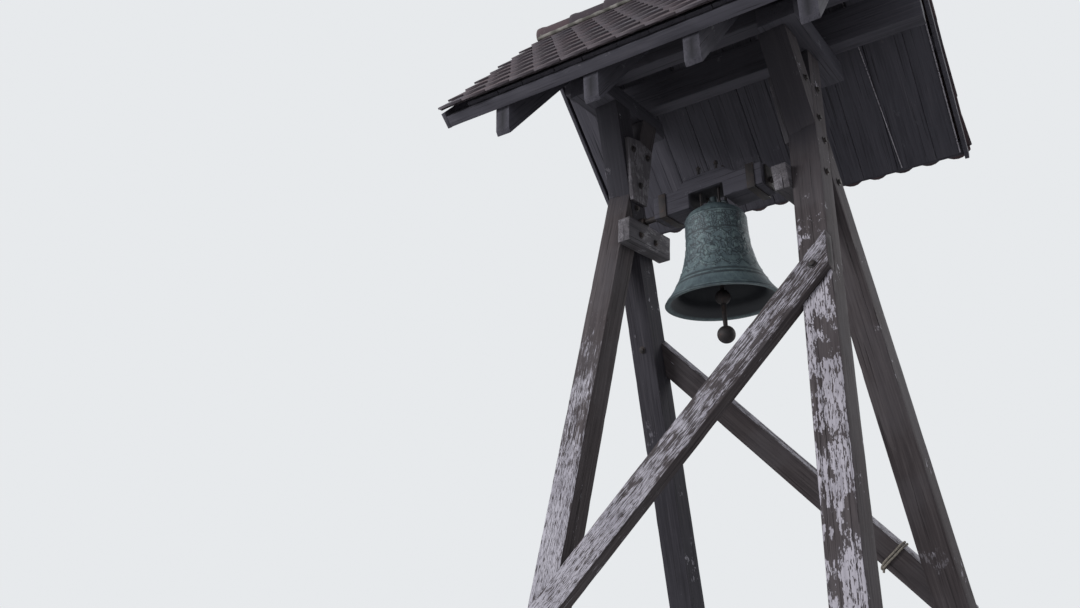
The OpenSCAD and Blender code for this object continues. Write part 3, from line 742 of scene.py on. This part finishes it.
def makeTiles(side, material):
    rng = random.Random(tileSet["seed"] + side)
    tile, under = makeTile(tileSet["length"], tileSet["round"]), makeTile(tileSet["underLength"], 0.0)
    halves = halfTile(tile, True), halfTile(tile, False)
    half = roofSet["half"] - tileSet["verge"]
    pitchAcross = 2 * half / tileSet["across"]
    eave = roofSet["eaveRun"] / pitchCos - tileSet["eaveBack"]
    courses = [(under, eave - tileSet["underBack"], tileSet["underLength"], tileSet["underRise"], False)]
    courses += [(tile, eave - k * tileSet["gauge"], tileSet["length"], tileSet["rise"], k % 2 == 1)
                for k in range(tileSet["courses"])]
    laid = []
    for model, tail, length, rise, offset in courses:
        spots = [(model, (k + 0.5) * pitchAcross - half) for k in range(tileSet["across"])]
        if offset:
            spots = [(model, k * pitchAcross - half) for k in range(1, tileSet["across"])]
            spots += [(halves[0], 0.25 * pitchAcross - half), (halves[1], half - 0.25 * pitchAcross)]
        for shape, x in spots:
            y = tail - length - rng.uniform(0, tileSet["slip"])
            tilt, rock = rng.uniform(-1, 1) * tileSet["tilt"], rng.uniform(-1, 1) * tileSet["rock"]
            place = Matrix.Translation((x, y, tileSet["lift"] - roofSet["tileLayer"]))
            for angle, axis in ((math.atan2(rise, length), "X"), (tilt, "Z"), (rock, "Y")):
                place = place @ Matrix.Rotation(angle, 4, axis)
            copy = placedCopy(shape, place, "tile")
            own = places(shape.data)
            keep(copy.data, "grain", own + np.array([rng.uniform(0, 50) for _ in range(3)]))
            keepEven(copy.data, tone=rng.random())
            # The band at the tail that gets the pale wear and the painted highlight
            keep(copy.data, "tail", own[:, 1] > length - tileSet["round"] - tileSet["tailGlintWidth"])
            keepEven(copy.data, weather=rng.random() ** 1.5)
            laid.append(copy)
    for model in (tile, under, *halves):
        bpy.data.objects.remove(model)
    name, node = slopeNames(side, "tiles")
    tiles = joined(laid, name)
    # What reaches over the ridge is cut off upright
    openMesh(tiles)
    bpy.ops.mesh.bisect(plane_co=(0, 0.001, 0), plane_no=(0, pitchCos, pitchSin), use_fill=True,
                        clear_inner=True)
    closeMesh()
    tiles.data.transform(slopeMatrix(side))
    finished(tiles, name, "frame", material, [node], 40)


ridgeSet = dict(
    count=9, lap=0.045, end=0.002, wide=0.1045, narrow=0.091, thick=0.014, drop=0.0693, arc=108,
    collar=0.15, collarCuts=(-0.40, -0.30), stepIn=0.006, edge=0.003, slip=0.002, turn=0.006, seed=5,
)


# A cylinder that lies along X
def lyingCylinder(vertices, radius, depth, **more):
    return settle(added(bpy.ops.mesh.primitive_cylinder_add, vertices=vertices, radius=radius, depth=depth,
                        rotation=(0, math.pi / 2, 0), **more))


def makeRidge(material):
    rng = random.Random(ridgeSet["seed"])
    step = (2 * roofSet["half"] - 2 * ridgeSet["end"]) / ridgeSet["count"]
    wide, stepIn = ridgeSet["wide"], ridgeSet["stepIn"]
    laid = []
    for k in range(ridgeSet["count"]):
        start = ridgeSet["end"] - roofSet["half"] + k * step
        end = min(start + step + ridgeSet["lap"], roofSet["half"] - ridgeSet["end"])
        shell = lyingCylinder(40, 1, 1, end_fill_type="NOTHING")
        openMesh(shell, "FACE", lambda face: face.normal.z < math.cos(math.radians(ridgeSet["arc"])))
        bpy.ops.mesh.delete(type="FACE")
        closeMesh()
        cutAcross(shell, (1, 0, 0), ridgeSet["collarCuts"])
        points = places(shell.data)
        along = points[:, 0] + 0.5
        tapered = wide - stepIn - (wide - ridgeSet["narrow"] - stepIn) * along
        points[:, 1:] *= np.where(along < ridgeSet["collar"], wide, tapered)[:, None]
        points[:, 0] = along * (end - start)
        setPlaces(shell.data, points)
        modify(shell, "SOLIDIFY", thickness=ridgeSet["thick"], offset=-1)
        modify(shell, "BEVEL", width=ridgeSet["edge"], segments=2, limit_method="ANGLE")
        keep(shell.data, "grain", places(shell.data) + rng.uniform(0, 40))
        keepEven(shell.data, tone=rng.random(), weather=rng.random(), tail=0)
        place = (start, rng.uniform(-1, 1) * ridgeSet["slip"], roofSet["ridge"] - ridgeSet["drop"])
        turn = rng.uniform(-ridgeSet["turn"], ridgeSet["turn"])
        shell.data.transform(Matrix.Translation(place) @ Matrix.Rotation(turn, 4, "Z"))
        laid.append(shell)
    ridge = joined(laid, "ridgeTiles")
    ridge.data.transform(roofMatrix())
    finished(ridge, "ridgeTiles", "frame", material, ["ridge_tiles"], 40)


mortarSet = dict(
    bed=0.015, bedEnd=0.02, bedAside=0.092, bedDown=0.034, step=0.012, plug=0.087, plugThick=0.02,
    plugEnd=0.022, insets=(0.02, 0.03), lumps=30, lumpHeight=0.004,
)


def mortarMaterial():
    material = newMaterial("oldMortar")
    place = put("TexCoord")["Object"]
    sand, stain = noiseNode(place, 260), noiseNode(place, 9)
    colour = colourRamp(sand, [(0.3, (0.16, 0.15, 0.14)), (0.7, (0.27, 0.26, 0.24))])
    colour = blendColour(stepUp(stain, 0.42, 0.62), colour, (0.085, 0.082, 0.072))
    surface({"Base Color": colour, "Roughness": 0.92, "Normal": bump(sand, 0.6, 0.0015)})
    return material


# A bed under both edges of the ridge tiles, and a plug in both ends
def makeMortar(material):
    half, middle = roofSet["half"], roofSet["ridge"] - ridgeSet["drop"]
    beds = []
    for side in (-1, 1):
        place = (0, side * mortarSet["bedAside"], middle - mortarSet["bedDown"])
        bed = lyingCylinder(12, mortarSet["bed"], 2 * half - mortarSet["bedEnd"], location=place)
        cutAcross(bed, (1, 0, 0), marksBetween(-half, half, mortarSet["step"]))
        place = (side * (half - mortarSet["plugEnd"]), 0, middle)
        plug = lyingCylinder(32, mortarSet["plug"], mortarSet["plugThick"], location=place)
        openMesh(plug, "FACE", lambda face: abs(face.normal.x) > 0.9)
        for inset in mortarSet["insets"]:
            bpy.ops.mesh.inset(thickness=inset)
        closeMesh()
        beds += [bed, plug]
    bed = joined(beds, "ridgeMortar")
    points, normals = places(bed.data), directions(bed.data)
    lumps = noiseAt(points, mortarSet["lumps"]) * mortarSet["lumpHeight"]
    setPlaces(bed.data, points + normals * lumps[:, None])
    bed.data.transform(roofMatrix())
    finished(bed, "ridgeMortar", "frame", material, (), 50)


boardSet = dict(
    thick=0.025, thinnest=0.93, frontDepth=0.0503, backDepth=0.1206, above=0.0005, ridgeGap=0.004,
    run=1.226, ragged=0.006, edge=1.259, wide=(0.15, 0.24), gap=0.003, gapShare=(0.3, 1.6), seed=7,
    hewSeed=90,
    backJoints=(-1.259, -1.055, -0.830, -0.640, -0.415, -0.235, -0.020, 0.185, 0.400, 0.625,
                0.855, 1.106, 1.250),
)


def makeBoards(side, material):
    rng = random.Random(boardSet["seed"] + side)
    edge, thick = boardSet["edge"], boardSet["thick"]
    depth = boardSet["backDepth"] if side > 0 else boardSet["frontDepth"]
    joints = list(boardSet["backJoints"])
    if side < 0:
        joints = [-edge]
        while joints[-1] < edge - boardSet["wide"][0]:
            joints.append(min(joints[-1] + rng.uniform(*boardSet["wide"]), edge))
    start = (depth + thick) * pitchSin / pitchCos + boardSet["ridgeGap"]
    boards = []
    for k, (left, right) in enumerate(zip(joints, joints[1:])):
        end = boardSet["run"] / pitchCos - rng.uniform(0, boardSet["ragged"])
        left += boardSet["gap"] * rng.uniform(*boardSet["gapShare"])
        under = -depth - thick * rng.uniform(boardSet["thinnest"], 1.0)
        board = addBox((left, start, under), (right, end, -depth - boardSet["above"]))
        board.data.transform(slopeMatrix(side))
        seed = boardSet["hewSeed"] + side * 20 + k
        boards.append(hewBar(board, timberShapes["board"], paintLevels["roof"], seed))
    name, node = slopeNames(side, "roof_boards")
    finished(joined(boards, name), name, "frame", material, [node])


# Narrow pale strips under the back boards, as painted light: the sky through the gap along the verge, and a
# lit board edge at a seam. x and run at both ends, width and thickness
stripSet = {
    "verge": ((1.2545, 0.12), (1.2545, 1.752), 0.008, 0.006),
    "seam": ((0.815, 0.50), (0.884, 1.752), 0.006, 0.004),
}


def makeStrips(material):
    strips = []
    for k, (start, end, width, thick) in enumerate(stripSet.values()):
        run = Vector(end) - Vector(start)
        strip = addBox((-width / 2, 0, -thick), (width / 2, run.length, 0))
        cutAcross(strip, (0, 1, 0), marksBetween(0, run.length, 0.15))
        modify(strip, "BEVEL", width=0.001, segments=2)
        place = Matrix.Translation((*start, -(boardSet["backDepth"] + boardSet["thick"] + 0.0002)))
        strip.data.transform(slopeMatrix(1) @ place @ Matrix.Rotation(-math.atan2(run.x, run.y), 4, "Z"))
        keep(strip.data, "grain", places(strip.data)[:, [0, 2, 1]] + k)
        # Full pale paint and no painted roof shade, so the strips show as painted light
        keepEven(strip.data, paint=1.2, deep=0, sheltered=0)
        strips.append(strip)
    finished(joined(strips, "paleLightStrips"), "paleLightStrips", "frame", material)


# Metres; bowAt and bowReach are shares of the flank, flare is a power, around and the rings are counts
bellSet = dict(
    mouthZ=3.288, mouth=0.349, waist=0.188, flank=0.520, shoulder=0.080, crown=0.022, wall=0.020, bow=0.030,
    bowAt=0.09, bowReach=0.08, flare=2.6, relief=0.0042, around=352, crownRings=7, shoulderRings=26,
    flankRings=122, innerRings=40,
)


def bellRadius(h):
    swelling = bellSet["mouth"] - bellSet["waist"]
    return bellSet["waist"] + swelling * np.clip(1 - h / bellSet["flank"], 0, 1) ** bellSet["flare"]


def bellWall(h):
    flank = bellSet["flank"]
    bow = math.exp(-((h - flank * bellSet["bowAt"]) / (flank * bellSet["bowReach"])) ** 2)
    return bellSet["wall"] + bellSet["bow"] * bow


# Rings on a quarter round of the shoulder
def shoulderRings(middle, fillet, angles):
    return [(middle + fillet * math.cos(a), bellSet["flank"] + fillet * math.sin(a)) for a in angles]


# Radius and height of the rings, from the crown down the outside, round the lip and up the inside
def bellRings():
    flank, fillet, mouth = bellSet["flank"], bellSet["shoulder"], bellSet["mouth"]
    middle = bellSet["waist"] - fillet
    top = flank + fillet + bellSet["crown"]
    rings = [(r, top) for r in np.linspace(0.012, middle - 0.011, bellSet["crownRings"])]
    rings += [(middle - 0.0095, top - 0.0015), (middle, flank + fillet + 0.004)]
    rings += shoulderRings(middle, fillet, np.linspace(math.radians(86), 0, bellSet["shoulderRings"]))
    rings += [(bellRadius(h), h) for h in np.linspace(flank - 0.004, 0.003, bellSet["flankRings"])]
    outer = len(rings)
    rings += [(mouth - 0.002, 0.0008), (mouth - 0.006, 0.0)]
    heights = flank * np.linspace(0.004, 1, bellSet["innerRings"]) ** 1.3
    rings += [(bellRadius(h) - bellWall(h), h) for h in heights]
    fillet -= bellSet["wall"]
    rings += shoulderRings(middle, fillet, np.linspace(0.15, math.pi / 2, 8))
    rings += [(0.05, flank + fillet), (0.01, flank + fillet)]
    return np.array(rings, float), outer


def lineAt(distance, width):
    return np.exp(-(distance / width) ** 2)


# Plain lines round the bell: height above the lip, half width and strength; then the two bands of scrolls:
# middle, half height and number of cells
reliefSet = {
    "lines": ((0.018, 0.006, 0.9), (0.100, 0.0035, 0.8), (0.114, 0.005, 1.0), (0.128, 0.0035, 0.7),
              (0.412, 0.003, 0.7), (0.422, 0.0035, 0.8), (0.535, 0.0035, 0.9), (0.548, 0.003, 0.7)),
    "frieze": (0.478, 0.050, 16), "belt": (0.288, 0.070, 9),
}


# Scrolls with leaves on a waving stem, repeated round the bell
def scrollBand(turn, radius, height, middle, count):
    cell = (turn * count / (2 * math.pi)) % 1 - 0.5
    flip = np.where(np.floor(turn * count / (2 * math.pi)) % 2 == 0, 1.0, -1.0)
    x = cell * 2 * math.pi * radius / count
    y = (height - middle) * flip
    reach = math.pi * 0.2 / count
    far, angle = np.hypot(x, y + 0.1 * reach), np.arctan2(y + 0.1 * reach, x)
    spiral = np.clip(np.cos(2 * math.pi * (far / (0.36 * reach) - angle / (2 * math.pi))), 0, 1) ** 1.5
    leaves = np.clip(np.cos(7 * angle + far / reach * 2.2), 0, 1) ** 2
    stem = lineAt(height - middle - 0.42 * reach * np.cos(turn * count / 2), 0.0035)
    rosette = lineAt(far, 0.22 * reach)
    scroll = spiral * lineAt(far, 0.95 * reach) + 0.8 * (leaves * lineAt(far - 1.05 * reach, 0.32 * reach))
    return np.clip(scroll + 0.7 * stem + rosette, 0, 1.15)


def bellRelief(turn, radius, height):
    raised = np.zeros_like(turn)
    for middle, width, amount in reliefSet["lines"]:
        raised += amount * lineAt(height - middle, width)
    middle, half, cells = reliefSet["frieze"]
    frieze = lineAt(height - middle, 0.058) ** 0.5 * (np.abs(height - middle) < half)
    raised += frieze * scrollBand(turn, radius, height, middle, cells)
    beads = np.clip(np.cos(turn * 64), 0, 1) ** 1.2
    raised += 0.8 * beads * lineAt(height - 0.434, 0.0045)
    # Lambrequins: a waving line under the frieze, with small drops
    wave = 0.385 + 0.014 * np.cos(turn * 12)
    raised += 0.95 * lineAt(height - wave, 0.0038) + 0.5 * lineAt(height - wave - 0.009, 0.003)
    raised += 0.8 * lineAt(height - 0.358, 0.010) * np.clip(np.cos(turn * 12 + math.pi), 0, 1) ** 24
    middle, half, cells = reliefSet["belt"]
    raised += (np.abs(height - middle) < half) * scrollBand(turn + 0.21, radius, height, middle, cells)
    # Swags tied up at twelve points, with a second fine line below
    swag = np.abs(np.sin(turn * 6))
    fine = lineAt(height - 0.194 + 0.042 * swag, 0.0028)
    raised += lineAt(height - 0.205 + 0.038 * swag, 0.0042) + 0.6 * fine
    raised += 0.9 * lineAt(height - 0.206, 0.008) * np.clip(np.cos(turn * 12), 0, 1) ** 20
    return raised


def bronzeMaterial():
    material = newMaterial("greenBronze")
    place = put("TexCoord")["Object"]
    relief, inside = stored("relief"), stored("inside")
    runs = noiseNode(place, (34, 34, 3.0), 4, 0.6)
    cloud = noiseNode(place, 7, 4, 0.6)
    grain = noiseNode(place, 120, 4, 0.65)
    pits = noiseNode(place, 420, 2, 0.5)
    mixed = addShare(runs, 0.45, addShare(cloud, 0.35, times(grain, 0.2)))
    colour = colourRamp(mixed, [(0.36, (0.044, 0.060, 0.072)), (0.47, (0.074, 0.104, 0.118)),
                                (0.57, (0.104, 0.146, 0.158)), (0.68, (0.165, 0.225, 0.225))])
    # Raised parts weather paler, their edges stay dark
    raised = stepUp(relief, 0.35, 0.85)
    colour = blendColour(times(raised, 0.42), colour, (0.175, 0.240, 0.240))
    edge = times(stepUp(relief, 0.04, 0.16), opposite(stepUp(relief, 0.22, 0.42)))
    colour = blendColour(times(edge, 0.85), colour, (0.018, 0.023, 0.029))
    pitted = times(stepUp(grain, 0.555, 0.63), 0.6)
    colour = blendColour(pitted, colour, (0.030, 0.042, 0.045))
    # Painted shade: the inside of the bell is blended to near black
    colour = blendColour(times(inside, 0.95), colour, (0.015, 0.016, 0.021))
    height = addShare(pits, 0.4, grain)
    rough = between(mixed, 0.45, 0.72)
    surface({"Base Color": colour, "Metallic": 0.25, "Roughness": rough,
             "Normal": bump(height, 0.45, 0.0016)})
    return material


def makeBell(material):
    rings, outer = bellRings()
    count = len(rings)
    bell = added(bpy.ops.mesh.primitive_cylinder_add, vertices=bellSet["around"], radius=1, depth=1,
                 end_fill_type="TRIFAN")
    divideUprights(bell, count - 2)
    points = places(bell.data)
    order = np.rint((0.5 - points[:, 2]) * (count - 1)).astype(int)
    pole = np.hypot(points[:, 0], points[:, 1]) < 0.01
    turn = np.arctan2(points[:, 1], points[:, 0])
    radius, height = rings[order, 0], rings[order, 1]
    outside = (order < outer) & ~pole
    relief = np.where(outside, bellRelief(turn, np.maximum(radius, 0.1), height), 0)
    at = np.stack([radius * np.cos(turn), radius * np.sin(turn), height], 1)
    # Fine casting grain between the bands; all relief is worn unevenly and ends halfway up the shoulder
    dense = ((height > 0.15) & (height < 0.55)) * outside
    relief += dense * 0.14 * np.clip(noiseAt(at, 110) * 2.2, 0, 1)
    relief *= np.clip(0.75 + 0.5 * noiseAt(at, 30), 0.2, 1.2) * (height < bellSet["flank"] + 0.04)
    slope = np.gradient(rings, axis=0)
    normal = np.stack([-slope[:, 1], slope[:, 0]], 1)
    normal /= np.linalg.norm(normal, axis=1)[:, None]
    push = relief * bellSet["relief"]
    radius = radius + normal[order, 0] * push
    rise = height + normal[order, 1] * push + bellSet["mouthZ"]
    shaped = np.stack([radius * np.cos(turn), radius * np.sin(turn), rise], 1)
    shaped[pole, :2] = 0
    setPlaces(bell.data, shaped)
    keep(bell.data, "relief", np.clip(relief, 0, 1))
    # Marks the inside above the lip for the painted shade
    keep(bell.data, "inside", order > outer + 3)
    finished(bell, "bronzeBell", "bell", material, ["bell"], 60)
    print("bell:", len(bell.data.polygons), "faces")


def ironMaterial():
    material = newMaterial("rustyIron")
    place = put("TexCoord")["Object"]
    rust, fine = noiseNode(place, 28, 5, 0.65), noiseNode(place, 240, 3, 0.6)
    colour = colourRamp(rust, [(0.36, (0.017, 0.016, 0.018)), (0.54, (0.032, 0.027, 0.028)),
                               (0.68, (0.060, 0.040, 0.035)), (0.80, (0.095, 0.055, 0.040))])
    colour = blendColour(times(fine, 0.3), colour, (0.028, 0.023, 0.022))
    height = maths("ADD", fine, rust)
    surface({"Base Color": colour, "Metallic": 0.45, "Roughness": between(rust, 0.5, 0.85),
             "Normal": bump(height, 0.55, 0.001)})
    return material


ironSet = {"edge": 0.0014, "sharp": 35, "crownRelief": 0.3, "nodes": (
    "right_crossing_bolts", "left_crossing_bolts", "brace_bolts", "right_block_bolts", "left_block_bolts",
    "right_bearing", "left_bearing", "yoke_bands", "crown_bolts", "right_gudgeon", "left_gudgeon",
    "clapper_staple", "clapper", "bell_crown")}


# The irons, and the bell's crown of bronze
def makeIrons(iron, bronze):
    for node in ironSet["nodes"]:
        piece = copyNode(node, node)
        modify(piece, "BEVEL", width=ironSet["edge"], segments=2, limit_method="ANGLE",
               angle_limit=math.radians(ironSet["sharp"]))
        material = iron
        if node == "bell_crown":
            keepEven(piece.data, relief=ironSet["crownRelief"], inside=0)
            material = bronze
        finished(piece, camelName(node) + "Casting", bodyOf(node), material, [node], 40)
    print("irons done")


# Lengths in metres, but knotOut, knotTurn, turnApart and the last two of tailPoints in radii of the rope;
# leave is a share of a turn
ropeSet = dict(
    radius=0.0068, strand=0.0036, lay=0.034, step=0.005, corner=0.012, gap=0.0002, knot=0.034, twists=1.0,
    knotOut=2.6, knotTurn=1.05, leave=0.10, turnApart=2.35, tail=0.045,
    tailPoints=((0.5, 1.5, 2.2), (1, 1.2, 2.6)), smoothing=6,
)


def ropeMaterial():
    material = newMaterial("greyHemp")
    place = put("TexCoord")["Object"]
    hair, dirt = noiseNode(place, 700, 3, 0.6), noiseNode(place, 22)
    colour = colourRamp(hair, [(0.3, (0.19, 0.17, 0.145)), (0.7, (0.36, 0.33, 0.285))])
    dirty = times(stepUp(dirt, 0.45, 0.65), 0.6)
    colour = blendColour(dirty, colour, (0.10, 0.088, 0.078))
    surface({"Base Color": colour, "Roughness": 0.9, "Normal": bump(hair, 0.6, 0.0006)})
    return material


# Two turns round the back brace, their ends twisted round each other in a half knot under its lower edge
def makeRope(material):
    points = places(frame["nodes"]["rope_lashing"].data)
    acrossAxis, outAxis, along = barAxes(frame["nodes"]["back_brace"].data)
    if outAxis[1] < 0:
        outAxis, acrossAxis = -outAxis, -acrossAxis
    radius, corner = ropeSet["radius"], ropeSet["corner"]
    axes = np.array([acrossAxis, outAxis, along])
    low, high = (points @ axes.T).min(0), (points @ axes.T).max(0)
    reach = (high - low)[:2] / 2 - radius - ropeSet["gap"]
    middle = sum(axes * ((low + high) / 2)[:, None])

    def ringAt(share):
        angle = 2 * math.pi * share
        spot = np.array([math.sin(angle), math.cos(angle)])
        spot = spot / max(abs(spot) / reach)
        inner = np.clip(spot, corner - reach, reach - corner)
        gap = spot - inner
        return inner + gap / np.linalg.norm(gap) * corner if min(abs(gap)) > 1e-6 else spot

    def onBrace(across, out, forward):
        return middle + acrossAxis * across + outAxis * out + along * forward

    def twist(share, phase):
        angle = 2 * math.pi * (share * ropeSet["twists"] + phase)
        out = reach[1] + radius * (ropeSet["knotOut"] + ropeSet["knotTurn"] * math.sin(angle))
        return onBrace((share - 0.5) * ropeSet["knot"], out, radius * ropeSet["knotTurn"] * math.cos(angle))

    def tailAt(side, share, out, forward):
        across = side * (ropeSet["knot"] / 2 + ropeSet["tail"] * share)
        return onBrace(across, reach[1] + out * radius, side * forward * radius)

    route = [tailAt(-1, *spot) for spot in reversed(ropeSet["tailPoints"])]
    route += [twist(share, 0.5) for share in np.linspace(0, 1, 25)]
    for share in np.linspace(ropeSet["leave"], 2 - ropeSet["leave"], 400):
        across, out = ringAt(share)
        route.append(onBrace(across, out, (share - 1) * ropeSet["turnApart"] * radius))
    route += [twist(share, 0.0) for share in np.linspace(0, 1, 25)]
    route += [tailAt(1, *spot) for spot in ropeSet["tailPoints"]]
    route = np.array(route)
    for _ in range(ropeSet["smoothing"]):
        route[1:-1] = (route[:-2] + 2 * route[1:-1] + route[2:]) / 4
    print("rope length", round(float(np.linalg.norm(np.diff(route, axis=0), axis=1).sum()), 3))
    twistedRope(route, material)


def resampled(route, step):
    run = np.concatenate([[0], np.cumsum(np.linalg.norm(np.diff(route, axis=0), axis=1))])
    marks = np.linspace(0, run[-1], max(2, round(run[-1] / step)))
    return np.stack([np.interp(marks, run, route[:, k]) for k in range(3)], 1), marks


def twistedRope(route, material):
    line, marks = resampled(route, ropeSet["step"])
    heading = np.gradient(line, axis=0)
    heading /= np.linalg.norm(heading, axis=1)[:, None]
    side = np.cross(heading[0], (0.3, 0.5, 0.8))
    frames = []
    for direction in heading:
        side = side - direction * (side @ direction)
        side = side / np.linalg.norm(side)
        frames.append((side, np.cross(direction, side)))
    strands = []
    for number in range(3):
        curve = bpy.data.curves.new("strand", "CURVE")
        curve.dimensions = "3D"
        curve.bevel_depth = ropeSet["strand"]
        curve.bevel_resolution = 2
        curve.use_fill_caps = True
        spline = curve.splines.new("POLY")
        spline.points.add(len(line) - 1)
        for k, (point, (first, second)) in enumerate(zip(line, frames)):
            angle = 2 * math.pi * (marks[k] / ropeSet["lay"] + number / 3)
            aside = first * math.cos(angle) + second * math.sin(angle)
            place = point + aside * (ropeSet["radius"] - ropeSet["strand"])
            spline.points[k].co = (*place, 1)
        strand = bpy.data.objects.new("strand", curve)
        scene.collection.objects.link(strand)
        pick(strand)
        bpy.ops.object.convert(target="MESH")
        strands.append(bpy.context.object)
    rope = joined(strands, "ropeLashing")
    finished(rope, "ropeLashing", "frame", material, ["rope_lashing"], 60)


makeCamera()
makeLights()
makeFloor()
finishes = makeTimbers()
print("timbers done")
clay = tileMaterial()
for side in (-1, 1):
    makeTiles(side, clay)
    makeBoards(side, finishes["darkStain"])
makeStrips(finishes["flakingPaint"])
makeRidge(clay)
makeMortar(mortarMaterial())
print("roof done")
bronze = bronzeMaterial()
makeBell(bronze)
makeIrons(ironMaterial(), bronze)
makeRope(ropeMaterial())
